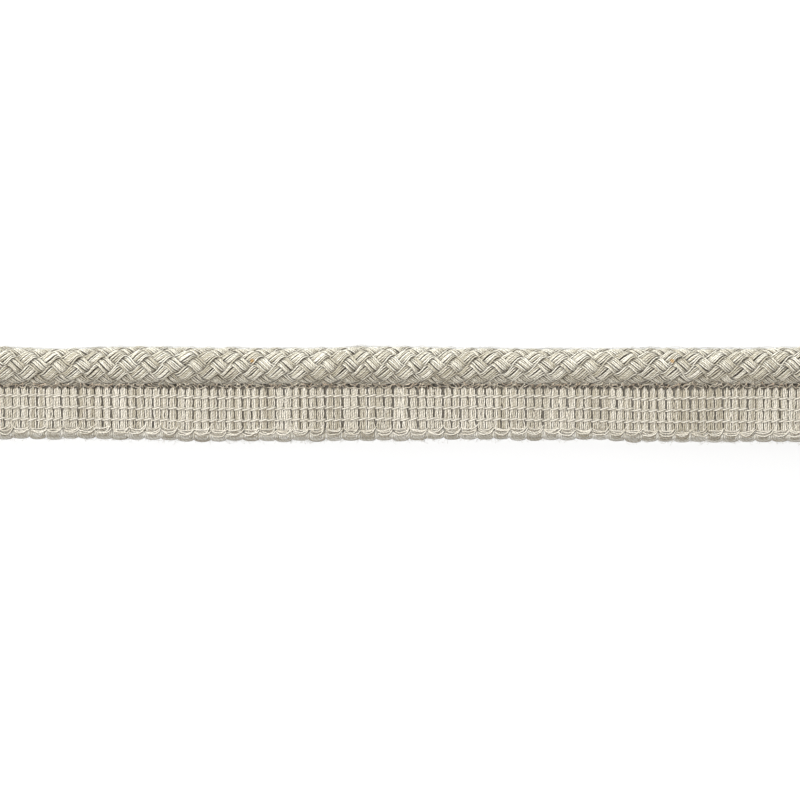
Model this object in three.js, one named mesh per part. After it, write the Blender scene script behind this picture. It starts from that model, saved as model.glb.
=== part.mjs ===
// Braided lip cord: a straight cut length of fat braided cord with a narrow flat tape along one side.
//
// Millimetres. X runs along the cord, Y goes across from the tape's outer edge to the cord, Z is up.
// Both pieces lie on the table at Z = 0. The cord is pressed a little flat where it touches the table,
// and the tape's inner edge tucks in under the cord's flank, where it is sewn on.

import * as THREE from 'three';

const LENGTH = 200;

// The cord is a round braid. Its plaits lie in columns along the cord, each column half a plait
// further on than the next, so that the plaits fit between each other like diamond tiles. The top
// column lies a few degrees past the top, on the free side.
const CORD_DIAMETER = 9.0;
const CORD_CENTRE_Y = 6.55;
const CORD_CENTRE_Z = 4.2;
const PLAIT_COLUMNS = 12;
const TOP_COLUMN_TURN = THREE.MathUtils.degToRad(5);
const PLAITS_ALONG = 38;
const PLAIT_RELIEF = 0.6;
const PLAIT_FULLNESS = 0.75;
const FIRST_TOP_CROWN = 3.2;
const PRESSED_BELOW = 0.3;

// The tape is made of weft columns across its width, bound by chains that run along it. Its outer
// edge has one loop for every two weft columns.
const WEFT_COLUMNS = 102;
const WEFT_RELIEF = 0.35;
const COLUMNS_PER_LOOP = 2;
const LOOP_REACH = 0.45;

// Places across the tape are counted from this line, which runs under the cord near its middle.
const TAPE_LINE_Y = 6.8;

// The tape's section, from its inner edge on the table, over the top, to its outer edge on the table.
// below: how far the point is from the tape's line, away from the cord
// height: above the table, on a weft column
// ribbed: the share of the weft relief that shows there between two columns
// looped: the share of the edge loops' reach
const TAPE_SECTION = [
  { place: 'inner edge', below: 2.5, height: 0, ribbed: 0, looped: 0 },
  { place: 'under the flank', below: 3.6, height: 0.68, ribbed: 0, looped: 0 },
  { place: 'seam', below: 4.75, height: 0.9, ribbed: 0.3, looped: 0 },
  { place: 'weft heads', below: 5.4, height: 1.5, ribbed: 1, looped: 0 },
  { place: 'first weft', below: 6.2, height: 1.75, ribbed: 1, looped: 0 },
  { place: 'first chain', below: 7.1, height: 1.55, ribbed: 0.4, looped: 0 },
  { place: 'second weft', below: 8.5, height: 1.8, ribbed: 1, looped: 0 },
  { place: 'second chain', below: 9.9, height: 1.55, ribbed: 0.4, looped: 0 },
  { place: 'third weft', below: 11.3, height: 1.8, ribbed: 1, looped: 0 },
  { place: 'third chain', below: 12.7, height: 1.55, ribbed: 0.4, looped: 0 },
  { place: 'last weft', below: 14.0, height: 1.75, ribbed: 1, looped: 0 },
  { place: 'edge chain', below: 15.3, height: 1.5, ribbed: 0.4, looped: 0 },
  { place: 'edge loops', below: 16.5, height: 1.4, ribbed: 0.3, looped: 0.5 },
  { place: 'outer edge, top', below: 17.5, height: 0.8, ribbed: 0, looped: 1 },
  { place: 'outer edge', below: 17.3, height: 0, ribbed: 0, looped: 1 },
];

// Where the trimming is fuller or wider than its plain section, along its length.
// x: from the middle of the length
// swell: how far the cord's free side stands out
// sag: how far the tape hangs away from the cord
// spread: how far the tape's outer edge stands out beyond its last chain
// plaits: how far the plaits have slid along the cord
// wefts: how far the weft columns have slid along the tape
const UNEVENNESS = [
  { x: -100, swell: 0.5, sag: -0.05, spread: 0.05, plaits: -0.2, wefts: -1.05 },
  { x: -84, swell: 0.0, sag: 0.0, spread: -0.15, plaits: -0.1, wefts: -0.95 },
  { x: -62, swell: 0.45, sag: 0.1, spread: -0.05, plaits: 0.25, wefts: -0.7 },
  { x: -46, swell: 0.2, sag: 0.45, spread: 0.0, plaits: 1.0, wefts: -0.6 },
  { x: -24, swell: 0.1, sag: 0.2, spread: 0.3, plaits: 1.25, wefts: -0.45 },
  { x: -5, swell: 0.5, sag: 0.05, spread: 0.35, plaits: 0.75, wefts: 0.1 },
  { x: 18, swell: 0.1, sag: 0.1, spread: 0.05, plaits: -0.15, wefts: 0.85 },
  { x: 44, swell: -0.05, sag: 0.3, spread: -0.15, plaits: 0.4, wefts: 1.05 },
  { x: 62, swell: 0.1, sag: 0.7, spread: -0.1, plaits: 1.1, wefts: 1.15 },
  { x: 80, swell: 0.0, sag: 0.5, spread: 0.2, plaits: 1.3, wefts: 1.15 },
  { x: 100, swell: 0.4, sag: 0.5, spread: 0.15, plaits: 1.3, wefts: 1.1 },
];

// The tape hangs away in full from its first chain on, and spreads from its last chain to its reach.
const SAG_FROM = 3.4;
const SAG_FULL = 7.1;
const SPREAD_FROM = 12.6;
const TAPE_REACH = 17.4;

// The weft columns don't slide at the two cut ends, and more and more up to this far from them.
const STEADY_END = 7;

function unevenness(column, x) {
  // A smooth ramp from each row of the table to the next.
  let next = 1;
  while (next < UNEVENNESS.length - 1 && UNEVENNESS[next].x < x) next += 1;
  const from = UNEVENNESS[next - 1];
  const to = UNEVENNESS[next];
  return from[column] + (to[column] - from[column]) * THREE.MathUtils.smoothstep(x, from.x, to.x);
}

// A solid from rings of equal length that follow each other along X, each anticlockwise as seen from
// the far end, closed by a flat face at both ends. alongRise says which diagonal splits a square.
function solidFromRings(rings, alongRise) {
  const around = rings[0].length;
  const index = [];
  for (let ring = 0; ring < rings.length - 1; ring += 1) {
    for (let spoke = 0; spoke < around; spoke += 1) {
      const next = (spoke + 1) % around;
      const near = ring * around + spoke;
      const nearNext = ring * around + next;
      const far = near + around;
      const farNext = nearNext + around;
      if (alongRise(ring, spoke)) index.push(near, nearNext, farNext, near, farNext, far);
      else index.push(near, nearNext, far, nearNext, farNext, far);
    }
  }

  for (const [ring, outward] of [[0, -1], [rings.length - 1, 1]]) {
    const outline = rings[ring].map((point) => new THREE.Vector2(point.y, point.z));
    for (const face of THREE.ShapeUtils.triangulateShape(outline, [])) {
      const [a, b, c] = face.map((corner) => outline[corner]);
      const turn = Math.sign((b.x - a.x) * (c.y - a.y) - (b.y - a.y) * (c.x - a.x));
      const corners = turn === outward ? face : [face[0], face[2], face[1]];
      index.push(...corners.map((corner) => ring * around + corner));
    }
  }

  const geometry = new THREE.BufferGeometry().setFromPoints(rings.flat());
  geometry.setIndex(index);
  geometry.computeVertexNormals();
  return geometry;
}

// The cord's ring at x, with two points for each column of plaits. Between the crown of a plait and
// the corners around it the surface follows a product of two cosines.
function cordRing(x, plaitPhase) {
  const swell = unevenness('swell', x) / 2;
  const spokes = 2 * PLAIT_COLUMNS;
  return Array.from({ length: spokes }, (_, spoke) => {
    const angle = Math.PI * (0.5 + (2 * spoke) / spokes) - TOP_COLUMN_TURN;
    const waves = Math.cos((Math.PI * spoke) / 2) * Math.cos(Math.PI * plaitPhase);
    const rise = Math.pow(0.5 + 0.5 * waves, PLAIT_FULLNESS);
    const radius = CORD_DIAMETER / 2 + swell - PLAIT_RELIEF * (1 - rise);
    const z = CORD_CENTRE_Z + swell + radius * Math.sin(angle);
    return new THREE.Vector3(
      x,
      CORD_CENTRE_Y + swell + radius * Math.cos(angle),
      z < PRESSED_BELOW ? 0 : z,
    );
  });
}

function braidedCord() {
  // Four rings for each plait, counted from the first crown on top, and one at each cut end.
  const ringsPerPlait = 4;
  const step = LENGTH / PLAITS_ALONG / ringsPerPlait;
  const crown = FIRST_TOP_CROWN - LENGTH / 2;
  const numberAt = (x) => (x - unevenness('plaits', x) - crown) / step;
  const placeOf = (number) => {
    // The slide is small, so that a few rounds of setting x by the slide at x settle it.
    let x = crown + number * step;
    for (let round = 0; round < 8; round += 1) x = crown + number * step + unevenness('plaits', x);
    return x;
  };

  const first = numberAt(-LENGTH / 2);
  const last = numberAt(LENGTH / 2);
  const numbers = [first];
  for (let number = Math.ceil(first + 0.2); number < last - 0.2; number += 1) numbers.push(number);
  numbers.push(last);

  const rings = numbers.map((number) => cordRing(placeOf(number), (2 * number) / ringsPerPlait));
  // Squares are split along the valleys between the plaits, which change direction from one block
  // of two by two squares to the next.
  return solidFromRings(rings, (ring, spoke) => {
    const block = Math.floor(spoke / 2) + Math.floor(Math.floor(numbers[ring]) / 2);
    return block % 2 !== 0;
  });
}

function tapeRing(x, betweenColumns, loopReach) {
  return TAPE_SECTION.map(({ below, height, ribbed, looped }) => {
    const sag = unevenness('sag', x) * THREE.MathUtils.smoothstep(below, SAG_FROM, SAG_FULL);
    const widening = Math.max(0, (below - SPREAD_FROM) / (TAPE_REACH - SPREAD_FROM));
    const reach = below + sag + widening * unevenness('spread', x) + looped * loopReach;
    const dip = betweenColumns ? ribbed * WEFT_RELIEF : 0;
    return new THREE.Vector3(x, TAPE_LINE_Y - reach, height - dip);
  });
}

function lipTape() {
  // Two rings for each weft column: one on its middle and one between it and the next.
  const ringCount = 2 * WEFT_COLUMNS + 1;
  const rings = Array.from({ length: ringCount }, (_, ring) => {
    const evenX = LENGTH * (ring / (ringCount - 1) - 0.5);
    const atEnd = THREE.MathUtils.smoothstep(Math.abs(evenX), LENGTH / 2 - STEADY_END, LENGTH / 2);
    const x = evenX + unevenness('wefts', evenX) * (1 - atEnd);
    const loopTurn = (Math.PI * ring) / COLUMNS_PER_LOOP;
    return tapeRing(x, ring % 2 === 0, LOOP_REACH * (0.5 - 0.5 * Math.cos(loopTurn)));
  });
  return solidFromRings(rings, (ring) => ring % 2 === 0);
}

const braidYarn = new THREE.MeshStandardMaterial({ color: 0xcbc5b5, roughness: 0.85, metalness: 0 });
const tapeYarn = new THREE.MeshStandardMaterial({ color: 0xc2bbaa, roughness: 0.9, metalness: 0 });

const lipCord = new THREE.Group();
for (const [name, geometry, material] of [
  ['braided_cord', braidedCord(), braidYarn],
  ['lip_tape', lipTape(), tapeYarn],
]) {
  const piece = new THREE.Mesh(geometry, material);
  piece.name = name;
  lipCord.add(piece);
}

export default lipCord;
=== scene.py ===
"""Braided lip cord, a straight cut length lying on a white table.

The cord is a round braid of twelve strands, each a flat bundle of yarns, around a soft filling. The
tape beside it has weft yarns in two layers, each yarn a hairpin with its bend in the looped outer
edge, twisted chains that bind them, and rows of bows on the loops. A zigzag of thin thread and short
stitches join the tape to the cord, and loose fibre ends stand off both.

Lengths in the tables and functions are millimetres, until a surface becomes a mesh in metres. X runs
along the cord, Y from the tape's outer edge to the cord, and the table is at Z = 0.
"""

import math

import bpy
import numpy as np
from bpy.props import FloatProperty, FloatVectorProperty, IntProperty, PointerProperty
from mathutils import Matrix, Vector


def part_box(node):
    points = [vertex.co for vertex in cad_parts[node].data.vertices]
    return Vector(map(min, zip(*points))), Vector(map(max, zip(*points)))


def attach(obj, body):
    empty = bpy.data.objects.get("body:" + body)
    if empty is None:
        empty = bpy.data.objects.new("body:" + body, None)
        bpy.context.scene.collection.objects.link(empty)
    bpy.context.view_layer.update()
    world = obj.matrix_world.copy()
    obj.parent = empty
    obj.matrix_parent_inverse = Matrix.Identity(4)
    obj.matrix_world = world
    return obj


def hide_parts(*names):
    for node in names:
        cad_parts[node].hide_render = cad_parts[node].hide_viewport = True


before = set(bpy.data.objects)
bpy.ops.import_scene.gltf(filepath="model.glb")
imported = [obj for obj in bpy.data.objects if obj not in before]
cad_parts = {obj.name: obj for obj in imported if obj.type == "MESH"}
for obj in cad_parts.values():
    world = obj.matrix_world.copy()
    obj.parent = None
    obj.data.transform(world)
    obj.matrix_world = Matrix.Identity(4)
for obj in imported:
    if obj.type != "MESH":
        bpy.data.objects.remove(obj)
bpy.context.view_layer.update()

bl_info = {
    "name": "Braided lip cord",
    "version": (1, 0, 0),
    "blender": (4, 5, 0),
    "location": "3D View > Sidebar > Lip cord",
    "description": "Makes a braided cord with a looped tape along one side, yarn by yarn",
    "category": "Add Mesh",
}

MM = 0.001
FULL_TURN = 2 * math.pi
UP = (0.0, 0.0, 1.0)

# Places that the solids set, in millimetres. Places across the tape count from its line, away from
# the cord.
HALF_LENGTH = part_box("braided_cord")[1][0] / MM
CORD_CENTRE_Y = 6.55
CORD_CENTRE_Z = 4.2
TAPE_LINE_Y = 6.8
FIRST_TOP_CROWN = 3.2 - HALF_LENGTH
PLAIT_COLUMNS = 12
TOP_COLUMN_TURN = math.radians(5)
CHAIN_ROWS = (7.1, 9.9, 12.7)
CHAIN_PITCH = 2.8

# Where the weft heads come out from under the cord, and how the cord is pressed in there: the depth in
# millimetres, and the width of its bell curve in radians.
SEAM_BELOW = 4.85
SEAM_DEPTH = 0.3
SEAM_WIDTH = 0.5

# Sizes and numbers of yarns that aren't in the settings, and how far the tape's stay inside its ends.
YARN_SIDES = 6
BACK_YARN_RADIUS = 0.24
EDGE_THREAD_RADIUS = 0.19
JOINING_THREAD_RADIUS = 0.12
STITCHES = 210
FIBRE_SIDES = 3
FIBRE_RADIUS = 0.022
CORD_FIBRES = 1500
EDGE_FIBRES = 900
END_MARGIN = 0.1

# The photo's width, and how far its middle lies below the tape's line, in pixels.
PHOTO_WIDTH = 800
PHOTO_MIDDLE_BELOW = 34

# Where the trimming is fuller or wider than its plain section, along its length.
# x: from the middle of the length
# swell: how far the cord's free side stands out
# sag: how far the tape hangs away from the cord
# spread: how far the tape's outer edge stands out beyond its last chain
# plaits: how far the plaits have slid along the cord
# wefts: how far the weft columns have slid along the tape
UNEVENNESS = {
    "x": (-100, -84, -62, -46, -24, -5, 18, 44, 62, 80, 100),
    "swell": (0.5, 0.0, 0.45, 0.2, 0.1, 0.5, 0.1, -0.05, 0.1, 0.0, 0.4),
    "sag": (-0.05, 0.0, 0.1, 0.45, 0.2, 0.05, 0.1, 0.3, 0.7, 0.5, 0.5),
    "spread": (0.05, -0.15, -0.05, 0.0, 0.3, 0.35, 0.05, -0.15, -0.1, 0.2, 0.15),
    "plaits": (-0.2, -0.1, 0.25, 1.0, 1.25, 0.75, -0.15, 0.4, 1.1, 1.3, 1.3),
    "wefts": (-1.05, -0.95, -0.7, -0.6, -0.45, 0.1, 0.85, 1.05, 1.15, 1.15, 1.1),
}
SAG_FROM = 3.4
SPREAD_FROM = 12.6
TAPE_REACH = 17.4

# The weft columns don't slide at the two cut ends, and more and more up to this far from them.
STEADY_END = 7

# The bends of the weft yarns in the edge loops, on the tape's face and on its back.
# steps, open: the points along one bend, and the share of its colour left unshaded; the rest is painted
# shade
# reach: how far from the tape's line the outermost and the innermost yarn go
# height: how high these two lie there
# flatness: the power of the sine that flattens the bend's bottom
# slip: how far a yarn, and a column, slips along itself near the cord
# loose: how far a yarn wanders aside
# stagger: how far a column steps aside from one cell to the next
FACE_BEND = {
    "steps": 10, "outer_reach": 16.5, "inner_reach": 15.5, "outer_height": 0.72, "inner_height": 0.85,
    "flatness": 0.6, "open": 0.5, "slip": 0.13, "loose": 0.055, "stagger": 0.08,
}
BACK_BEND = {
    "steps": 12, "outer_reach": 17.4, "inner_reach": 16.5, "outer_height": 0.36, "inner_height": 0.6,
    "flatness": 0.5, "open": 0.6, "slip": 0.05, "loose": 0.03, "stagger": 0.0,
}

# The rows of bows along the outer edge, from the outermost inwards.
# deep: how far from the tape's line the middle of a bow lies
# sag: how much nearer to the line its two sides are
# link: how far its far end goes up towards the cord
# reach: where its far end is, in half widths of the bow
EDGE_BOWS = (
    {"deep": 16.2, "sag": 0.75, "link": 0.5, "reach": 1.2},
    {"deep": 15.7, "sag": 0.6, "link": 0.4, "reach": 1.2},
    {"deep": 15.1, "sag": 0.45, "link": 0.3, "reach": 1.1},
)

# Small coloured specks caught in the braid: place in millimetres, radius and colour.
SPECKS = (
    {"x": -35.3, "y": 8.0, "radius": 0.65, "colour": (0.56, 0.34, 0.12)},
    {"x": 65.0, "y": 8.0, "radius": 0.65, "colour": (0.56, 0.34, 0.12)},
    {"x": 73.4, "y": 3.7, "radius": 0.4, "colour": (0.78, 0.72, 0.60)},
)


class BraidSettings(bpy.types.PropertyGroup):
    radius: FloatProperty(
        name="Radius", description="From the cord's centre to the crowns of its plaits",
        default=0.0045, min=0.001, subtype="DISTANCE")
    plaits_along: IntProperty(
        name="Plaits", description="Plaits in one column along the length", default=38, min=2)
    yarns: IntProperty(
        name="Yarns", description="Yarns side by side in one strand", default=7, min=3)
    yarn_diameter: FloatProperty(
        name="Yarn", description="Diameter of one yarn of the braid",
        default=0.00046, min=0.0001, subtype="DISTANCE")
    relief: FloatProperty(
        name="Relief", description="How far a strand rises over and dips under the middle of the braid",
        default=0.00038, min=0.0, subtype="DISTANCE")
    colour: FloatVectorProperty(
        name="Colour", description="Colour of the braid's yarn",
        default=(0.82, 0.775, 0.665), min=0.0, max=1.0, subtype="COLOR")
    seed: IntProperty(
        name="Seed", description="Start of the braid's unevenness", default=4, min=0)


class TapeSettings(bpy.types.PropertyGroup):
    columns: IntProperty(
        name="Columns", description="Weft columns along the length, two for each edge loop",
        default=102, min=2)
    weft_diameter: FloatProperty(
        name="Weft", description="Diameter of one weft yarn on the tape's face",
        default=0.00045, min=0.0001, subtype="DISTANCE")
    chain_diameter: FloatProperty(
        name="Chain", description="Diameter of one thread of the chains that bind the wefts",
        default=0.00049, min=0.0001, subtype="DISTANCE")
    colour: FloatVectorProperty(
        name="Colour", description="Colour of the tape's yarn",
        default=(0.85, 0.80, 0.695), min=0.0, max=1.0, subtype="COLOR")
    joining_colour: FloatVectorProperty(
        name="Joining thread", description="Colour of the thread that holds the tape to the cord",
        default=(1.0, 0.80, 0.65), min=0.0, max=1.0, subtype="COLOR")
    seed: IntProperty(
        name="Seed", description="Start of the tape's unevenness", default=9, min=0)


class StageSettings(bpy.types.PropertyGroup):
    frame_width: FloatProperty(
        name="View width", description="Width that the camera takes in",
        default=0.192, min=0.01, subtype="DISTANCE")
    sky: FloatProperty(
        name="Sky", description="Strength of the even light from all around", default=0.03, min=0.0)
    key: FloatProperty(
        name="Key", description="Power of the soft light above, in watts", default=46.0, min=0.0)
    fill: FloatProperty(
        name="Fill", description="Power of the low light from the cord's side, in watts",
        default=34.0, min=0.0)
    edge: FloatProperty(
        name="Edge", description="Power of the weak light from the tape's side, in watts",
        default=4.0, min=0.0)
    floor_glow: FloatProperty(
        name="Floor glow", description="Strength of the table's own light", default=0.1, min=0.0)
    floor_colour: FloatVectorProperty(
        name="Floor", description="Colour of the table",
        default=(0.76, 0.76, 0.76), min=0.0, max=1.0, subtype="COLOR")


class LipCordSettings(bpy.types.PropertyGroup):
    braid: PointerProperty(type=BraidSettings)
    tape: PointerProperty(type=TapeSettings)
    stage: PointerProperty(type=StageSettings)


def unevenness(row, x):
    """A row of the table at each x: a smooth ramp, three t squared less two t cubed, between places."""
    places = np.array(UNEVENNESS["x"], float)
    values = np.array(UNEVENNESS[row], float)
    after = np.clip(np.searchsorted(places, x), 1, len(places) - 1)
    t = np.clip((x - places[after - 1]) / (places[after] - places[after - 1]), 0, 1)
    return values[after - 1] + (values[after] - values[after - 1]) * t * t * (3 - 2 * t)


def lengthwise(steps, margin=0.0):
    """Even places along the length, from one cut end to the other with a margin at both."""
    return np.linspace(-HALF_LENGTH + margin, HALF_LENGTH - margin, steps)


def ramp(start, end, value):
    """0 before start, 1 after end, and a smooth ramp between."""
    t = np.clip((value - start) / (end - start), 0, 1)
    return t * t * (3 - 2 * t)


def bell(value, height, width):
    """A bell curve around 0: the height times e to minus the square of the value over the width."""
    return height * np.exp(-(value / width) ** 2)


def squared_off(wave, squareness):
    """A wave with flattened crests: the hyperbolic tangent of the squareness times the wave, over the
    hyperbolic tangent of the squareness."""
    return np.tanh(squareness * wave) / math.tanh(squareness)


def wander(rng, count, along, wavelengths, amount):
    """Slow unevenness of many lines: for each line a sum of sines along it, one for each wavelength,
    with its own phase and stretch, scaled to the amount."""
    total = np.zeros((count, len(along)))
    for wavelength in wavelengths:
        phase = rng.uniform(0, FULL_TURN, (count, 1))
        stretch = rng.uniform(0.8, 1.25, (count, 1))
        total += np.sin(FULL_TURN * stretch * along / wavelength + phase)
    return amount * total / math.sqrt(len(wavelengths))


def weft_shift(x):
    """How far the weft columns have slid along the tape at x: not at all at the two cut ends."""
    return unevenness("wefts", x) * (1 - ramp(HALF_LENGTH - STEADY_END, HALF_LENGTH, np.abs(x)))


def weft_pitch(settings):
    """How much of the tape's length one weft column takes."""
    return 2 * HALF_LENGTH / settings.columns


def loop_middles(settings):
    """Where the middles of the edge loops lie along X, one for every two weft columns."""
    middle = -HALF_LENGTH + (2 * np.arange(settings.columns // 2) + 1) * weft_pitch(settings)
    return middle + weft_shift(middle)


def tubes(paths, radius, sides, facing, unshaded_share=1.0):
    """Closed round tubes along many paths of equal length, an array of tube, step and coordinate.

    A ring's point is the path's point, plus the radius times the cosine of the angle around along the
    side direction, plus the radius times its sine along the face direction. The side direction is the
    tangent crossed with facing, and the face direction is the side crossed with the tangent. What
    would lie under the table is pressed flat on it. The share left unshaded is from 0 where the upper
    side of a tube lies deep between others to 1 where it lies open; the rest is painted shade, on the
    tube's upper side only, which the material mixes into the colour. Returns points, faces as rows of
    corners, for each corner its length along the path and its share of the way around, and for each
    point the number of its tube and its open share.
    """
    count, steps = paths.shape[:2]
    tangent = np.gradient(paths, axis=1)
    tangent /= np.linalg.norm(tangent, axis=2, keepdims=True)
    side = np.cross(tangent, np.broadcast_to(facing, tangent.shape))
    side /= np.linalg.norm(side, axis=2, keepdims=True)
    face = np.cross(side, tangent)
    angle = FULL_TURN * np.arange(sides) / sides
    radii = np.broadcast_to(radius, (count, steps))[:, :, None, None]
    points = paths[:, :, None] + radii * (
        np.cos(angle)[:, None] * side[:, :, None] + np.sin(angle)[:, None] * face[:, :, None])
    points[..., 2] = np.maximum(points[..., 2], 0)

    tube, step, spoke = np.meshgrid(
        np.arange(count), np.arange(steps - 1), np.arange(sides), indexing="ij")
    ring = (tube * steps + step) * sides
    after = (spoke + 1) % sides
    quads = np.stack([ring + spoke, ring + sides + spoke, ring + sides + after, ring + after], -1)
    first = (np.arange(count) * steps * sides)[:, None] + np.arange(sides)
    last = (first + (steps - 1) * sides)[:, ::-1]

    stride = np.linalg.norm(np.diff(paths, axis=1), axis=2)
    length = np.concatenate([np.zeros((count, 1)), np.cumsum(stride, axis=1)], axis=1)
    reached = np.repeat(length[:, :, None], sides, 2)
    u = np.stack([reached[:, :-1], reached[:, 1:], reached[:, 1:], reached[:, :-1]], -1)
    v = np.stack([spoke, spoke, spoke + 1, spoke + 1], -1) / sides
    cap_u = np.concatenate([reached[:, 0], reached[:, -1]])
    cap_v = np.broadcast_to(np.arange(sides) / sides, cap_u.shape)
    # Painted shade: the part of each point's colour darkened as shade, on the upper side only.
    covered = (1 - np.broadcast_to(unshaded_share, (count, steps)))[..., None]
    painted_shade = covered * ramp(-0.8, 0.1, np.sin(angle))
    return {
        "points": points.reshape(-1, 3),
        "faces": [quads.reshape(-1, 4), np.concatenate([first, last])],
        "uv": np.concatenate([
            np.stack([u, v], -1).reshape(-1, 2), np.stack([cap_u, cap_v], -1).reshape(-1, 2)]),
        "owner": np.repeat(np.arange(count), steps * sides),
        "open": 1 - painted_shade.ravel(),
    }


def joined(surfaces):
    """Several surfaces as one, their corners numbered on and their lines kept apart."""
    offset = 0
    owners = 0
    faces = []
    whole = {"points": [], "uv": [], "owner": [], "open": []}
    for surface in surfaces:
        faces += [corners + offset for corners in surface["faces"]]
        numbered = dict(surface, owner=surface["owner"] + owners)
        for key, parts in whole.items():
            parts.append(numbered[key])
        offset += len(surface["points"])
        owners += surface["owner"].max() + 1
    return {"faces": faces, **{key: np.concatenate(parts) for key, parts in whole.items()}}


def placed(context, name, data):
    """A new object of the scene, at the origin until it is moved."""
    made = bpy.data.objects.new(name, data)
    context.scene.collection.objects.link(made)
    return made


def new_piece(context, name, surface, material, rng, darkest=-1.0):
    """A mesh object at the origin, in metres, from a surface in millimetres, smooth shaded.

    Its yarn map holds the length along each yarn and the share of the way around it. Its tint is one
    random number for each yarn, from the darkest to 1, and its open share, the share of its colour
    left free of painted shade, is the surface's.
    """
    counts = np.concatenate([np.full(len(part), part.shape[1]) for part in surface["faces"]])
    corners = np.concatenate([part.ravel() for part in surface["faces"]])
    mesh = bpy.data.meshes.new(name)
    mesh.vertices.add(len(surface["points"]))
    mesh.vertices.foreach_set("co", (surface["points"] * MM).ravel())
    mesh.loops.add(len(corners))
    mesh.loops.foreach_set("vertex_index", corners)
    mesh.polygons.add(len(counts))
    mesh.polygons.foreach_set("loop_start", np.cumsum(counts) - counts)
    mesh.polygons.foreach_set("use_smooth", counts == 4)
    mesh.uv_layers.new(name="yarn").data.foreach_set("uv", surface["uv"].ravel())
    tints = rng.uniform(darkest, 1, surface["owner"].max() + 1)
    mesh.attributes.new("tint", "FLOAT", "POINT").data.foreach_set("value", tints[surface["owner"]])
    # open: the share of each point's colour left free of painted shade.
    mesh.attributes.new("open", "FLOAT", "POINT").data.foreach_set("value", surface["open"])
    mesh.update(calc_edges=True)
    if mesh.validate():
        raise RuntimeError(f"the mesh of {name} had faces that could not stand")
    mesh.materials.append(material)
    piece = placed(context, name, mesh)
    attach(piece, "root")
    return piece


class Value:
    """A socket's number, on which Python's operators add the Math nodes."""

    def __init__(self, shader, socket):
        self.shader = shader
        self.socket = socket

    def maths(self, operation, *others):
        inputs = dict(enumerate((self, *others)))
        return self.shader.node("ShaderNodeMath", {"operation": operation}, inputs).value(0)

    def __add__(self, other):
        return self.maths("ADD", other)

    def __sub__(self, other):
        return self.maths("SUBTRACT", other)

    def __rsub__(self, other):
        return self.maths("MULTIPLY_ADD", -1.0, other)

    def __mul__(self, other):
        return self.maths("MULTIPLY", other)

    __radd__ = __add__
    __rmul__ = __mul__


class Node:
    """One node of a shader, whose outputs are read as values or plain sockets."""

    def __init__(self, shader, made):
        self.shader = shader
        self.made = made

    def out(self, key=0):
        return self.made.outputs[key]

    def value(self, key=0):
        return Value(self.shader, self.made.outputs[key])


class Shader:
    """The nodes of a material or world: one method adds any node, and short forms the common ones."""

    def __init__(self, owner):
        owner.use_nodes = True
        self.tree = owner.node_tree
        self.tree.nodes.clear()

    def node(self, kind, settings=None, inputs=None):
        """Adds a node of a kind, sets its settings first and then its sockets' values or links."""
        made = self.tree.nodes.new(kind)
        for name, setting in (settings or {}).items():
            setattr(made, name, setting)
        for key, given in (inputs or {}).items():
            source = given.socket if isinstance(given, Value) else given
            if isinstance(source, bpy.types.NodeSocket):
                self.tree.links.new(source, made.inputs[key])
            else:
                made.inputs[key].default_value = source
        return Node(self, made)

    def attribute(self, name):
        """The number that the mesh holds at each point under a name."""
        return self.node("ShaderNodeAttribute", {"attribute_name": name}).value("Fac")

    def noise(self, place, scale, detail, roughness=0.5):
        """Noise at a place, with about as many grains to the metre as its scale says."""
        inputs = {"Vector": place, "Scale": scale, "Detail": detail, "Roughness": roughness}
        return self.node("ShaderNodeTexNoise", None, inputs).value("Fac")

    def mapped(self, value, start, end, low, high, interpolation="LINEAR"):
        """Low before start, high after end, and a ramp between."""
        inputs = {0: value, 1: start, 2: end, 3: low, 4: high}
        return self.node("ShaderNodeMapRange", {"interpolation_type": interpolation}, inputs).value()

    def mix(self, factor, first, second):
        """A colour between two, by a factor from 0 to 1."""
        mixed = self.node("ShaderNodeMix", {"data_type": "RGBA", "clamp_factor": True},
                          {0: factor, 6: first, 7: second})
        return mixed.out(2)

    def spot(self, place, centre, radius):
        """1 inside a small round spot, falling smoothly to 0 at its rim."""
        away = self.node("ShaderNodeVectorMath", {"operation": "DISTANCE"}, {0: place, 1: centre})
        return self.mapped(away.value("Value"), radius * 0.5, radius, 1.0, 0.0, "SMOOTHSTEP")


def opaque(colour):
    """A colour with its opacity of 1."""
    return (*colour, 1.0)


def toned(colour, factors):
    """A colour with each channel multiplied by its factor, and 1 at most."""
    return [min(1.0, channel * factor) for channel, factor in zip(colour, factors)]


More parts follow.
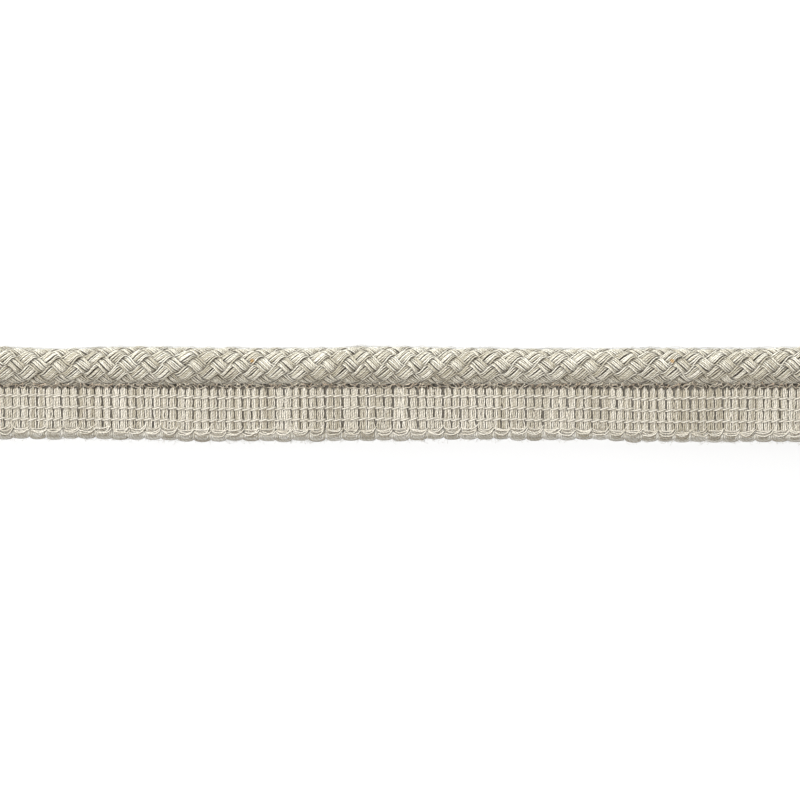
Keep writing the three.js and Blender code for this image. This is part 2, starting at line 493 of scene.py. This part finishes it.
def yarn_material(name, colour, twist_pitch, lift, flank_shade_share, sheen=0.2, specks=()):
    """Matt spun yarn: plies that wind around each yarn, loose fibres, and uneven colour.

    The plies are a sine of the length along over the twist pitch plus two turns around. Fibres are
    fine noise. Together they are the bump. The colour goes from a darker, warmer one to a lighter one:
    partly by the bump's height, which is painted shade in the furrows between the plies and painted
    light on them, and partly by a tint for each yarn, clumps and slow patches. Where two yarns lie side
    by side the light doesn't reach the wool of their flanks: the absolute cosine of the way around
    paints shade on them, by the share given for the flanks and more in some patches than in others.
    The open share paints shade on what lies deep. A material that is there already is used again.
    """
    if name in bpy.data.materials:
        return bpy.data.materials[name]
    material = bpy.data.materials.new(name)
    shader = Shader(material)
    place = shader.node("ShaderNodeTexCoord").out("Object")
    yarn_map = shader.node("ShaderNodeUVMap", {"uv_map": "yarn"}).out()
    yarn = shader.node("ShaderNodeSeparateXYZ", None, {0: yarn_map})
    along = yarn.value("X")
    around = yarn.value("Y")
    winding = along * (1 / twist_pitch) + around * 2.0
    plies = (winding * FULL_TURN).maths("SINE") * 0.5 + 0.5
    fibres = shader.noise(place, scale=5200.0, detail=3.0, roughness=0.65)
    clumps = shader.noise(place, scale=900.0, detail=2.0)
    patches = shader.noise(place, scale=70.0, detail=1.0)
    height = plies * 0.55 + fibres * 0.45
    tone = height * 0.45 + clumps * 0.35 + patches * 0.2 + shader.attribute("tint") * 0.2
    # Darker end: painted shade in the furrows and the yarn's darker patches. Lighter end: painted light on
    # the plies and its lighter patches. Shadow: the colour of painted shade.
    dark = opaque(toned(colour, (0.61, 0.58, 0.51)))
    light = opaque(toned(colour, (1.16, 1.17, 1.19)))
    shadow = opaque(toned(colour, (0.1, 0.085, 0.065)))
    base = shader.mix(shader.mapped(tone, 0.3, 0.76, 0.0, 1.0), dark, light)

    # Painted shade on each yarn's flanks, where it lies beside the next.
    flank = (around * FULL_TURN).maths("COSINE").maths("ABSOLUTE")
    painted_flank_shade = shader.mapped(flank, 0.5, 1.0, 0.0, flank_shade_share, "SMOOTHSTEP")
    parted = shader.mapped(shader.noise(place, scale=420.0, detail=1.0), 0.35, 0.6, 0.75, 1.0)
    base = shader.mix(painted_flank_shade * parted, base, shadow)
    # Painted shade where the mesh's open attribute says a yarn lies deep.
    base = shader.mix(shader.attribute("open"), shadow, base)
    for speck in specks:
        centre = (speck["x"] * MM, speck["y"] * MM, speck["z"] * MM)
        there = shader.spot(place, centre, speck["radius"] * MM)
        base = shader.mix(there * 0.85, base, opaque(speck["colour"]))
    bump = shader.node("ShaderNodeBump", None, {
        "Strength": 0.7, "Distance": lift * MM, "Height": height})
    surface = shader.node("ShaderNodeBsdfPrincipled", None, {
        "Base Color": base, "Roughness": 0.95 - plies * 0.15, "Normal": bump.out(),
        "Sheen Weight": sheen, "Sheen Roughness": 0.45, "Specular IOR Level": 0.25})
    shader.node("ShaderNodeOutputMaterial", None, {"Surface": surface.out()})
    return material


def cord_surface_height(y):
    """How high the cord's upper surface is at a place across it."""
    surface_radius = 4.45
    return CORD_CENTRE_Z + math.sqrt(max(0.0, surface_radius ** 2 - (y - CORD_CENTRE_Y) ** 2))


def braid_material(settings):
    """The braid's yarn, with the coloured specks that are caught in it."""
    specks = [dict(speck, z=cord_surface_height(speck["y"])) for speck in SPECKS]
    return yarn_material("spun_braid_yarn", settings.colour, twist_pitch=0.85, lift=0.05, flank_shade_share=0.95,
                         sheen=0.4, specks=specks)


def tape_material(settings):
    """The yarn of the tape's face, its chains and its edge."""
    return yarn_material("spun_tape_yarn", settings.colour, twist_pitch=0.7, lift=0.05, flank_shade_share=0.65)


def shaded_back_material(settings):
    """The smoother yarn of the tape's back, whose bends show at the outer edge: a copy of the tape's yarn,
    darkened and greyed as painted shade.
    """
    # Painted shade: the tape's colour darkened and greyed.
    colour = toned(settings.colour, (0.84, 0.86, 0.9))
    return yarn_material("shaded_smooth_tape_yarn", colour, twist_pitch=0.9, lift=0.02, flank_shade_share=0.3)


def joining_material(settings):
    """The thin brownish thread between the tape and the cord."""
    return yarn_material("joining_thread", settings.joining_colour, twist_pitch=0.6, lift=0.03, flank_shade_share=0.5)


def cord_centre(x):
    """The cord's centre line: where the cord is fuller it stands up and away from the tape."""
    swell = unevenness("swell", x) / 2
    return np.stack([x, CORD_CENTRE_Y + swell, CORD_CENTRE_Z + swell], -1)


def around_cord(x, angle, radius):
    """Points around the cord's centre line, and the outward direction at each: the cosine of the angle
    across the cord and its sine upwards, which the point follows for the radius."""
    outward = np.stack([np.zeros_like(angle), np.cos(angle), np.sin(angle)], -1)
    return cord_centre(x) + radius[..., None] * outward, outward


def strand_paths(settings, turn, number, rng):
    """The yarns of one strand of the braid, as an array of yarn, step and coordinate.

    The beat counts crossings along the cord. A strand moves one column around for each beat, to one
    side or the other by its turn, and each yarn has its own place beside the strand's middle. The
    strand is widest on the beat, by a cosine of a whole turn. Its radius is the middle radius, plus
    the relief times a squared-off cosine of half a turn for each beat, with the other turn's strands
    in the opposite phase, plus a crown across the strand. The strands that turn back lie on top a
    little longer than the others. A yarn meets the crossing strand sooner or later by half its place,
    which gives each plait its slant. The cord is pressed in where the tape is sewn on, by a bell curve
    of the angle from there. Returns the paths, the outward directions and the open shares: painted
    shade where a yarn goes under, and painted shade near the seam, by another bell curve.
    """
    x = lengthwise(9 * settings.plaits_along + 1)
    half_plait = HALF_LENGTH / settings.plaits_along
    beat = (x - unevenness("plaits", x) - FIRST_TOP_CROWN) / half_plait
    yarn_radius = settings.yarn_diameter / MM / 2
    relief = settings.relief / MM
    crown = 0.14
    middle = settings.radius / MM - relief - yarn_radius - crown

    share = np.linspace(-1, 1, settings.yarns)[:, None]
    strand_half_width = 0.8
    place = strand_half_width * share
    fan = 0.99 + 0.09 * np.cos(FULL_TURN * beat) + wander(rng, 1, x, (9, 5.3), 0.06)
    column = turn * beat + 2 * number + place * fan
    column = column + wander(rng, 1, x, (45, 17, 8), 0.06) + wander(rng, settings.yarns, x, (7, 4), 0.02)
    longer_on_top = 0.12
    wave = np.cos(math.pi * (beat + turn * place / 2)) - longer_on_top
    over = turn * squared_off(wave, 1.5)
    radius = middle + relief * over + crown * (1 - share ** 2)
    bulge = wander(rng, 1, x, (9, 5), 0.06) + wander(rng, settings.yarns, x, (6, 3.5), 0.04)
    angle = math.pi / 2 + FULL_TURN * column / PLAIT_COLUMNS - TOP_COLUMN_TURN
    from_seam = angle % FULL_TURN - math.pi
    radius = radius + bulge + unevenness("swell", x) / 2 - bell(from_seam, SEAM_DEPTH, SEAM_WIDTH)
    paths, outward = around_cord(x, angle, radius)

    cut = rng.uniform(-0.3, 0.15, (2, settings.yarns, 1))
    share_along = (x + HALF_LENGTH) / (2 * HALF_LENGTH)
    paths[..., 0] += cut[1] * share_along - cut[0] * (1 - share_along)
    pressed_height = 0.12
    paths[..., 2] = np.maximum(paths[..., 2], pressed_height)
    # Painted shade on the braid beside the seam, by a bell curve of the angle from there.
    painted_seam_shade = bell(from_seam, 0.42, 0.75)
    return paths, outward, ramp(-0.45, 0.7, over) * (1 - painted_seam_shade)


def filling(rng):
    """What the braid is filled with: one soft round body along the cord's centre line, and the ends of
    the filling yarns that show where the cord is cut. The ends lie evenly over the round, like a
    sunflower's seeds: each the golden angle further on, at the square root of its number."""
    body_radius = 3.15
    x = lengthwise(61, 0.9)
    bulge = wander(rng, 1, x, (23, 11), 0.03)
    body = tubes(cord_centre(x)[None], body_radius + bulge, 32, UP)
    # The body's upper side is painted almost as dark as the shade colour: painted shade that shows in the
    # holes between the strands.
    unshaded_in_holes = 0.1
    body["open"][:] = unshaded_in_holes

    count = 42
    golden_angle = math.radians(137.5)
    number = np.arange(count)
    turned = golden_angle * number
    reach = (body_radius - 0.35) * np.sqrt((number + 0.5) / count)
    ends = np.stack([reach * np.cos(turned), reach * np.sin(turned)], -1)
    ends = ends + rng.uniform(-0.05, 0.05, ends.shape)
    stub_length = 1.4
    stub_radii = 0.43 * np.array([1.0, 1.0, 0.8])
    share = np.array([0.0, 0.8, 1.0])
    stubs = []
    for side in (-1, 1):
        start = side * (HALF_LENGTH - stub_length)
        out = side * (HALF_LENGTH + rng.uniform(-0.35, 0.1, count))
        middle = cord_centre(np.array([start]))[0]
        paths = np.empty((count, len(share), 3))
        paths[..., 0] = start + (out[:, None] - start) * share
        paths[..., 1] = middle[1] + ends[:, :1]
        paths[..., 2] = middle[2] + ends[:, 1:]
        stubs.append(tubes(paths, stub_radii, 8, UP))
    return joined([body, *stubs])


def widened(x, below):
    """How far a place of the tape lies from the tape's line, which runs under the cord near its middle,
    with the tape's sag and spread."""
    sagging = ramp(SAG_FROM, CHAIN_ROWS[0], below) * unevenness("sag", x)
    share_of_edge = np.maximum(0, (below - SPREAD_FROM) / (TAPE_REACH - SPREAD_FROM))
    return below + sagging + share_of_edge * unevenness("spread", x)


def between_chains(below):
    """0 on a chain and 1 halfway to the next: the squared sine of half a turn for each chain pitch."""
    return np.sin(math.pi * (below - CHAIN_ROWS[0]) / CHAIN_PITCH) ** 2


def cell_weights(below):
    """For each of the four cells between the seam, the three chains and the edge, how much of a place
    lies in it: 1 in the cell and a smooth ramp to 0 across the chain at either end."""
    half_chain = 0.35
    passed = np.array([ramp(row - half_chain, row + half_chain, below) for row in CHAIN_ROWS])
    reached = np.concatenate([np.ones((1, len(below))), passed])
    left = np.concatenate([passed, np.zeros((1, len(below)))])
    return reached - left


def hairpins(settings, rng, legs, places, section, bend):
    """Weft yarns that go out along one column, turn in the edge loop and come back along the next.

    legs are the places along a leg, from under the cord to the loop. places are the yarns' places
    beside their column's middle, on the leg that goes out. The section gives the narrowing, the height
    and the open share at each place. Each column leans a little, and steps aside from one cell to the
    next. Near the cord each yarn slips a little, so that the heads aren't level. The bend is half a
    superellipse: along X its half width times the cosine, and outwards its reach times the sine raised
    to a power below one, which flattens its bottom. Returns the paths and their open shares, the
    bend's from its table: the rest of the colour is painted shade.
    """
    pitch = weft_pitch(settings)
    middle = loop_middles(settings)[:, None, None]
    pairs = len(middle)
    columns = 2 * pairs
    yarns = len(places)
    slip = rng.normal(0, bend["slip"], (columns, yarns, 1)) + rng.normal(0, bend["slip"], (columns, 1, 1))
    below_legs = legs + slip * (1 - ramp(5.5, 8.0, legs))
    narrow, height, leg_unshaded = section(below_legs, places[:, None])
    leg_middle = 10
    aside = rng.normal(0, 0.04, (columns, 1, 1))
    lean = rng.normal(0, 0.008, (columns, 1, 1)) * (legs - leg_middle)
    stagger = (rng.normal(0, bend["stagger"], (columns, 4)) @ cell_weights(legs))[:, None]
    loose = wander(rng, columns * yarns, legs, (5.5, 3.1, 2.1), bend["loose"]).reshape(columns, yarns, -1)
    rise = wander(rng, columns * yarns, legs, (6.1, 2.9), 0.04).reshape(columns, yarns, -1)
    beside = places[:, None] * narrow + (aside + lean + stagger) + loose
    out_x = middle - pitch / 2 + beside[0::2]
    back_x = middle + pitch / 2 - beside[1::2]
    out_z = height[0::2] + rise[0::2]
    back_z = height[1::2] + rise[1::2]

    turn = np.linspace(0, math.pi, bend["steps"] + 2)[1:-1]
    reach = np.linspace(bend["outer_reach"], bend["inner_reach"], yarns)[:, None]
    reach = reach + rng.normal(0, 0.07, (pairs, yarns, 1)) + rng.normal(0, 0.1, (pairs, 1, 1))
    low = np.linspace(bend["outer_height"], bend["inner_height"], yarns)[:, None]
    low = low + rng.normal(0, 0.05, (pairs, yarns, 1))
    swing = (1 - np.cos(turn)) / 2
    outwards = np.sin(turn) ** bend["flatness"]
    bend_x = out_x[..., -1:] + (back_x[..., -1:] - out_x[..., -1:]) * swing
    bend_below = legs[-1] + (reach - legs[-1]) * outwards
    leg_z = out_z[..., -1:] + (back_z[..., -1:] - out_z[..., -1:]) * swing
    bend_z = leg_z + (low - leg_z) * outwards

    x = np.concatenate([out_x, bend_x, back_x[..., ::-1]], -1)
    below = np.concatenate([below_legs[0::2], bend_below, below_legs[1::2, :, ::-1]], -1)
    z = np.concatenate([out_z, bend_z, back_z[..., ::-1]], -1)
    inside = np.clip(x, -HALF_LENGTH + END_MARGIN, HALF_LENGTH - END_MARGIN)
    y = TAPE_LINE_Y - widened(inside, below)
    # Painted shade on the bends in the edge loops, by the open share of their table.
    bend_unshaded = np.full(bend_x.shape, bend["open"])
    leg_unshaded = np.broadcast_to(leg_unshaded, height.shape)
    unshaded_share = np.concatenate([leg_unshaded[0::2], bend_unshaded, leg_unshaded[1::2, :, ::-1]], -1)
    paths = np.stack([inside, y, z], -1).reshape(pairs * yarns, -1, 3)
    return paths, unshaded_share.reshape(pairs * yarns, -1)


def face_section(below, places):
    """The wefts on the tape's face: low under the cord's flank, up over a rounded head, then pressed
    down and drawn together at each chain, arched across each column, and down again beyond the last.
    The light doesn't reach them before the head, nor close beside each chain on its outer side: there
    their colour is painted darker as shade. Returns the narrowing, the height and the open share."""
    aside = (places / np.abs(places).max()) ** 2
    start = SEAM_BELOW + 0.5 * aside
    head = ramp(start, start + 0.35, below)
    barrel = between_chains(below)
    narrow = (0.82 + 0.18 * barrel) * (1 + 0.05 * ramp(9, 13, below))
    narrow = narrow * (0.15 + 0.85 * np.sqrt(np.clip((below - SEAM_BELOW) / 0.9, 0, 1)))
    tucked = 0.58
    arch = 0.22 * aside
    top = 1.37 + 0.3 * barrel - 0.15 * ramp(5.6, 6.8, below) - 0.5 * ramp(14.6, 15.1, below)
    height = tucked + (top - arch - tucked) * head
    # Painted shade before the head and just outside each chain.
    past_chain = 0.42
    from_shade = np.min([np.abs(below - row - past_chain) for row in CHAIN_ROWS], axis=0)
    lit = ramp(start - 0.15, start + 0.1, below) * (0.3 + 0.7 * ramp(0.0, 0.25, from_shade))
    return narrow, height, 0.42 + 0.58 * lit


def back_section(below, places):
    """The wefts on the tape's back: evenly side by side and level, a little above the table, wherever
    they lie in their column. Their upper side lies deep under the face's, and its colour is painted
    dark as shade there, up to the edge loops."""
    height = 0.62
    # Painted shade on the back's upper side, everywhere inside the edge loops.
    return np.ones_like(below), np.full_like(below, height), 0.2 + 0.8 * ramp(14.9, 15.5, below)


def chain_paths(settings, rng):
    """Two threads for each chain, twisted around each other and around the weft columns.

    The turn is half a turn for each column. The height is the middle plus its swing times a squared-off
    cosine of the turn, so that a thread lies over one column and under the next. Across the tape it
    follows the sine, so that each stroke over a column rises towards the cord. Returns the paths and
    their open shares: painted shade where a thread dives, and a little darker all along.
    """
    x = lengthwise(10 * settings.columns + 1)
    turn = math.pi * ((x - weft_shift(x) + HALF_LENGTH) / weft_pitch(settings) - 0.5)
    middle_height = 0.89
    swing = 0.68
    half_stroke = 0.21
    paths = []
    for row in CHAIN_ROWS:
        lie = wander(rng, 1, x, (38, 15), 0.11)[0]
        for phase in (0.0, math.pi):
            wave = squared_off(np.cos(turn + phase), 3.0)
            height = middle_height + swing * wave + wander(rng, 1, x, (7, 4), 0.03)[0]
            stroke = half_stroke * np.sin(turn + phase) + wander(rng, 1, x, (9, 5), 0.06)[0]
            y = TAPE_LINE_Y - widened(x, row + lie) + stroke
            paths.append(np.stack([x, y, height], -1))
    paths = np.array(paths)
    # Painted shade where a thread dives under a column.
    return paths, 0.93 * ramp(0.4, 1.0, paths[..., 2])


def edge_bow_paths(settings, rng, deep, sag, link, reach):
    """The threads of the outer edge, one short bow for each loop, that lies on the ends of the wefts.

    share goes from -1 to a little over 1 along the bow. Its distance from the cord is deepest at 0 and
    less by the sag times the share's 2.2th power, and each bow leans a little to one side. At its far
    end it goes up towards the cord by the link, over the start of the next bow, and dives into the
    tape. It starts low, under the last bow. Returns the paths and their open shares: painted shade
    where the bow starts under the last one and where it dives.
    """
    middle = loop_middles(settings)[:, None]
    loops = len(middle)
    share = np.linspace(-1.0, reach, 17)
    half_width = 1.9 + rng.normal(0, 0.16, (loops, 1))
    x = middle + rng.normal(0, 0.2, (loops, 1)) + half_width * share
    x = np.clip(x, -HALF_LENGTH + END_MARGIN, HALF_LENGTH - END_MARGIN)
    deepest = deep + rng.normal(0, 0.13, (loops, 1))
    sagging = (sag + rng.normal(0, 0.2, (loops, 1))) * np.abs(share) ** 2.2
    lean = rng.normal(0, 0.14, (loops, 1)) * share
    linking = link * ramp(0.7, reach, share)
    below = deepest - sagging + lean - linking + wander(rng, loops, share, (0.9, 0.5), 0.05)
    over = ramp(-1.0, -0.72, share) * (1 - ramp(reach - 0.12, reach, share))
    start_height = 0.95
    rise = 0.42 + 0.16 * ramp(0.5, 0.9, share)
    height = start_height + rise * over + rng.normal(0, 0.03, (loops, 1))
    # Painted shade where the bow lies under the last one and where it dives.
    return np.stack([x, TAPE_LINE_Y - widened(x, below), height], -1), 0.15 + 0.85 * over


def joining_paths(settings, rng):
    """The thread that holds the tape to the cord: a zigzag from the gaps between the weft heads up to
    the cord's flank and back. The zigzag is the arcsine of a sine, one full wave for two columns.
    Returns its path, as an array of one, and its open share: painted shade, darker the lower it lies."""
    x = lengthwise(8 * settings.columns + 1, 0.2)
    along = (x - weft_shift(x)) / (2 * weft_pitch(settings))
    phase = 0.1
    wave = np.sin(FULL_TURN * (along + phase) + wander(rng, 1, x, (17, 9, 5), 1.3)[0])
    zigzag = np.arcsin(0.97 * wave) / (math.pi / 2)
    half_width = 0.45
    middle_height = 2.2
    below = SEAM_BELOW + half_width * zigzag + wander(rng, 1, x, (11, 6, 3.1), 0.2)[0]
    height = middle_height - half_width * zigzag + wander(rng, 1, x, (8, 5, 3.3), 0.25)[0]
    path = np.stack([x, TAPE_LINE_Y - below, height], -1)[None]
    # Painted shade on the low parts of the thread.
    return path, 0.5 + 0.5 * ramp(1.2, 2.3, path[..., 2])


def stitch_paths(rng, count):
    """Stitches over the seam: from the weft heads straight to the cord's flank, up along the flank by
    an angle of its circle, and into the braid. Each leans to one side or the other by a random amount.
    Returns the paths and their open shares: a little painted shade where they lie low."""
    share = np.linspace(0, 1, 8)
    foot_x = lengthwise(count, 1.5)[:, None] + rng.normal(0, 0.4, (count, 1))
    foot_y = TAPE_LINE_Y - rng.uniform(5.1, 5.5, (count, 1))
    foot_height = 1.35
    lean = rng.choice([-1, 1], (count, 1)) * rng.uniform(0.4, 2.0, (count, 1))
    at_flank = 0.4
    near = np.clip(share / at_flank, 0, 1)
    climb = np.clip((share - at_flank) / (1 - at_flank), 0, 1)
    angle = rng.uniform(0, math.radians(32), (count, 1)) * climb
    flank_radius = 4.58
    dive = 0.3 * ramp(0.9, 1.0, share)
    radius = flank_radius - bell(angle, SEAM_DEPTH, SEAM_WIDTH) - dive
    x = foot_x + lean * (share - 0.5) + rng.normal(0, 0.15, (count, 1)) * np.sin(math.pi * share)
    y = foot_y + (CORD_CENTRE_Y - radius * np.cos(angle) - foot_y) * near
    z = foot_height + (CORD_CENTRE_Z + radius * np.sin(angle) - foot_height) * near
    # A little painted shade on the low parts of the stitches.
    return np.stack([x, y, z], -1), 0.8 + 0.2 * ramp(1.3, 3.0, z)


def cord_fibre_paths(rng, count):
    """Loose fibre ends on the cord: each a short bow that leaves the surface, stands a little off it
    and comes back towards it. Its height follows the middle three quarters of half a sine wave.
    Returns the paths and the outward directions."""
    start_x = rng.uniform(-HALF_LENGTH + 2, HALF_LENGTH - 2, (count, 1))
    start_angle = rng.uniform(math.radians(-30), math.radians(200), (count, 1))
    length = rng.uniform(1.0, 3.2, (count, 1))
    heading = rng.normal(0, 0.75, (count, 1)) + math.pi * rng.integers(0, 2, (count, 1))
    share = np.linspace(0, 1, 7)
    curl = heading + rng.normal(0, 0.8, (count, 1)) * share
    x = start_x + length * share * np.cos(curl)
    turning_radius = 4.3
    angle = start_angle + length * share * np.sin(curl) / turning_radius
    stand = rng.gamma(2.0, 0.11, (count, 1)) * np.sin(math.pi * (0.12 + 0.76 * share))
    surface_radius = 4.4
    return around_cord(x, angle, surface_radius + stand + unevenness("swell", x) / 2)


def edge_fibre_paths(rng, count):
    """Loose fibre ends along the tape's outer edge: short bows that leave the loops outwards."""
    start_x = rng.uniform(-HALF_LENGTH + 2, HALF_LENGTH - 2, (count, 1))
    start_below = rng.normal(17.0, 0.3, (count, 1))
    length = rng.uniform(0.5, 1.6, (count, 1))
    share = np.linspace(0, 1, 6)
    heading = rng.normal(0, 0.9, (count, 1)) + rng.normal(0, 0.9, (count, 1)) * share
    x = start_x + length * share * np.sin(heading)
    below = widened(x, start_below) + 0.75 * length * share * np.cos(heading)
    height = rng.uniform(0.15, 0.75, (count, 1)) + 0.1 * np.sin(math.pi * share)
    return np.stack([x, TAPE_LINE_Y - below, height], -1)


class LIPCORD_OT_stage(bpy.types.Operator):
    """Camera straight above, white table, a soft light above, a low one and a weak one beside"""

    bl_idname = "lipcord.stage"
    bl_label = "Stage"

    def execute(self, context):
        settings = context.scene.lip_cord.stage
        lens = 200.0
        sensor = 36.0
        framed_height = 0.003
        middle_y = TAPE_LINE_Y - PHOTO_MIDDLE_BELOW * settings.frame_width / MM / PHOTO_WIDTH
        camera = placed(context, "camera", bpy.data.cameras.new("camera"))
        camera.data.lens = lens
        camera.data.sensor_width = sensor
        camera.data.clip_start = 0.01
        camera.data.clip_end = 20.0
        camera.location = (0.0, middle_y * MM, framed_height + settings.frame_width * lens / sensor)
        context.scene.camera = camera

        floor_mesh = bpy.data.meshes.new("table")
        reach = 3.0
        corners = [(-reach, -reach, 0), (reach, -reach, 0), (reach, reach, 0), (-reach, reach, 0)]
        floor_mesh.from_pydata(corners, [], [(0, 1, 2, 3)])
        white = bpy.data.materials.new("white_table")
        shader = Shader(white)
        surface = shader.node("ShaderNodeBsdfPrincipled", None, {
            "Base Color": opaque(settings.floor_colour), "Roughness": 0.9, "Specular IOR Level": 0.1,
            "Emission Color": (1.0, 1.0, 1.0, 1.0), "Emission Strength": settings.floor_glow})
        shader.node("ShaderNodeOutputMaterial", None, {"Surface": surface.out()})
        floor_mesh.materials.append(white)
        floor = placed(context, "table", floor_mesh)

        world = bpy.data.worlds.new("even_sky")
        sky = Shader(world)
        glow = sky.node("ShaderNodeBackground", None, {0: (1.0, 1.0, 1.0, 1.0), 1: settings.sky})
        sky.node("ShaderNodeOutputWorld", None, {"Surface": glow.out()})
        context.scene.world = world

        light_size = 0.9
        distance = 2.0
        for name, power, colour, turned, raised in (
                ("key_light", settings.key, (1.0, 1.0, 1.0), 80, 76),
                ("fill_light", settings.fill, (0.93, 0.98, 1.0), 20, 13),
                ("edge_light", settings.edge, (1.0, 0.93, 0.82), 165, 35)):
            light = placed(context, name, bpy.data.lights.new(name, "AREA"))
            light.data.energy = power
            light.data.color = colour
            light.data.size = light_size
            azimuth = math.radians(turned)
            elevation = math.radians(raised)
            level = distance * math.cos(elevation)
            light.location = (
                -level * math.sin(azimuth), level * math.cos(azimuth), distance * math.sin(elevation))
            light.rotation_euler = (elevation - math.pi / 2, 0.0, azimuth)
        context.scene.view_settings.view_transform = "Standard"
        return {"FINISHED"}


class LIPCORD_OT_braid(bpy.types.Operator):
    """The braided cord: twelve strands of yarns and the filling inside them, along one centre line"""

    bl_idname = "lipcord.braid"
    bl_label = "Braided cord"

    def execute(self, context):
        settings = context.scene.lip_cord.braid
        rng = np.random.default_rng(settings.seed + 1)
        material = braid_material(settings)
        yarn_radius = settings.yarn_diameter / MM / 2
        strands = []
        for turn in (1, -1):
            for number in range(PLAIT_COLUMNS // 2):
                paths, outward, unshaded_share = strand_paths(settings, turn, number, rng)
                radii = yarn_radius * (1 + rng.normal(0, 0.08, (settings.yarns, 1)))
                surface = tubes(paths, radii, YARN_SIDES, outward, unshaded_share)
                name = f"braid_strand_{len(strands) + 1:02d}"
                strands.append(new_piece(context, name, surface, material, rng))
        inside = new_piece(context, "braid_filling", filling(rng), material, rng)

        for piece in (*strands, inside):
            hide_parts("braided_cord")
        centre = cord_centre(lengthwise(33)) * MM
        return {"FINISHED"}


class LIPCORD_OT_wefts(bpy.types.Operator):
    """The tape's weft yarns, in one layer on its face and one on its back, with the edge loops"""

    bl_idname = "lipcord.wefts"
    bl_label = "Weft yarns"

    def execute(self, context):
        settings = context.scene.lip_cord.tape
        rng = np.random.default_rng(settings.seed)
        face_legs = np.concatenate([
            np.linspace(3.4, 4.6, 3), np.linspace(4.8, 5.8, 7), np.linspace(6.3, 14.3, 21),
            [14.6, 14.85, 15.05]])
        face_places = np.linspace(-0.65, 0.65, 4)
        paths, unshaded_share = hairpins(settings, rng, face_legs, face_places, face_section, FACE_BEND)
        surface = tubes(paths, settings.weft_diameter / MM / 2, YARN_SIDES, UP, unshaded_share)
        front = new_piece(context, "face_wefts", surface, tape_material(settings), rng)

        back_legs = np.linspace(2.75, 16.4, 14)
        back_places = 0.46 * weft_pitch(settings) * np.linspace(-1, 1, 5)
        paths, unshaded_share = hairpins(settings, rng, back_legs, back_places, back_section, BACK_BEND)
        surface = tubes(paths, BACK_YARN_RADIUS, YARN_SIDES, UP, unshaded_share)
        rear = new_piece(context, "back_wefts", surface, shaded_back_material(settings), rng)
        for piece in (front, rear):
            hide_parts("lip_tape")
        return {"FINISHED"}


class LIPCORD_OT_chains(bpy.types.Operator):
    """The twisted chains that bind the wefts, and the rows of bows along the outer edge"""

    bl_idname = "lipcord.chains"
    bl_label = "Chains and edge"

    def execute(self, context):
        settings = context.scene.lip_cord.tape
        rng = np.random.default_rng(settings.seed + 1)
        material = tape_material(settings)
        paths, unshaded_share = chain_paths(settings, rng)
        surface = tubes(paths, settings.chain_diameter / MM / 2, YARN_SIDES, UP, unshaded_share)
        chains = new_piece(context, "binding_chains", surface, material, rng, darkest=0.6)
        bows = []
        for row in EDGE_BOWS:
            paths, unshaded_share = edge_bow_paths(settings, rng, **row)
            bows.append(tubes(paths, EDGE_THREAD_RADIUS, YARN_SIDES, UP, unshaded_share))
        edge = new_piece(context, "edge_thread", joined(bows), material, rng, darkest=0.0)
        for piece in (chains, edge):
            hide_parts("lip_tape")
        return {"FINISHED"}


class LIPCORD_OT_joining(bpy.types.Operator):
    """The thin brownish zigzag and the stitches that hold the tape to the cord"""

    bl_idname = "lipcord.joining"
    bl_label = "Joining thread"

    def execute(self, context):
        settings = context.scene.lip_cord.tape
        rng = np.random.default_rng(settings.seed + 2)
        threads = []
        for paths, unshaded_share in (joining_paths(settings, rng), stitch_paths(rng, STITCHES)):
            threads.append(tubes(paths, JOINING_THREAD_RADIUS, YARN_SIDES, UP, unshaded_share))
        material = joining_material(settings)
        new_piece(context, "joining_thread", joined(threads), material, rng)
        return {"FINISHED"}


class LIPCORD_OT_fibres(bpy.types.Operator):
    """Loose fibre ends that stand off the braid and off the tape's outer edge"""

    bl_idname = "lipcord.fibres"
    bl_label = "Loose fibres"

    def execute(self, context):
        settings = context.scene.lip_cord.braid
        rng = np.random.default_rng(settings.seed + 7)
        on_cord, outward = cord_fibre_paths(rng, CORD_FIBRES)
        on_edge = edge_fibre_paths(rng, EDGE_FIBRES)
        surface = joined([
            tubes(on_cord, FIBRE_RADIUS, FIBRE_SIDES, outward),
            tubes(on_edge, FIBRE_RADIUS, FIBRE_SIDES, UP)])
        new_piece(context, "loose_fibres", surface, braid_material(settings), rng)
        return {"FINISHED"}


class LIPCORD_PT_panel(bpy.types.Panel):
    """Sizes, colours and pieces of the braided lip cord"""

    bl_idname = "LIPCORD_PT_panel"
    bl_label = "Braided lip cord"
    bl_space_type = "VIEW_3D"
    bl_region_type = "UI"
    bl_category = "Lip cord"

    def draw(self, context):
        settings = context.scene.lip_cord
        for group in (settings.braid, settings.tape, settings.stage):
            box = self.layout.box()
            box.label(text=group.__class__.__name__.removesuffix("Settings"))
            for name in group.__annotations__:
                box.prop(group, name)
        for operator in OPERATORS:
            self.layout.operator(operator.bl_idname)


OPERATORS = (
    LIPCORD_OT_stage,
    LIPCORD_OT_braid,
    LIPCORD_OT_wefts,
    LIPCORD_OT_chains,
    LIPCORD_OT_joining,
    LIPCORD_OT_fibres,
)
CLASSES = (BraidSettings, TapeSettings, StageSettings, LipCordSettings, *OPERATORS, LIPCORD_PT_panel)


def register():
    for cls in CLASSES:
        bpy.utils.register_class(cls)
    bpy.types.Scene.lip_cord = PointerProperty(type=LipCordSettings)


def unregister():
    del bpy.types.Scene.lip_cord
    for cls in reversed(CLASSES):
        bpy.utils.unregister_class(cls)


def main():
    """Makes the stage and every piece."""
    register()
    bpy.ops.lipcord.stage()
    bpy.ops.lipcord.braid()
    bpy.ops.lipcord.wefts()
    bpy.ops.lipcord.chains()
    bpy.ops.lipcord.joining()
    bpy.ops.lipcord.fibres()


if __name__ == "__main__":
    main()
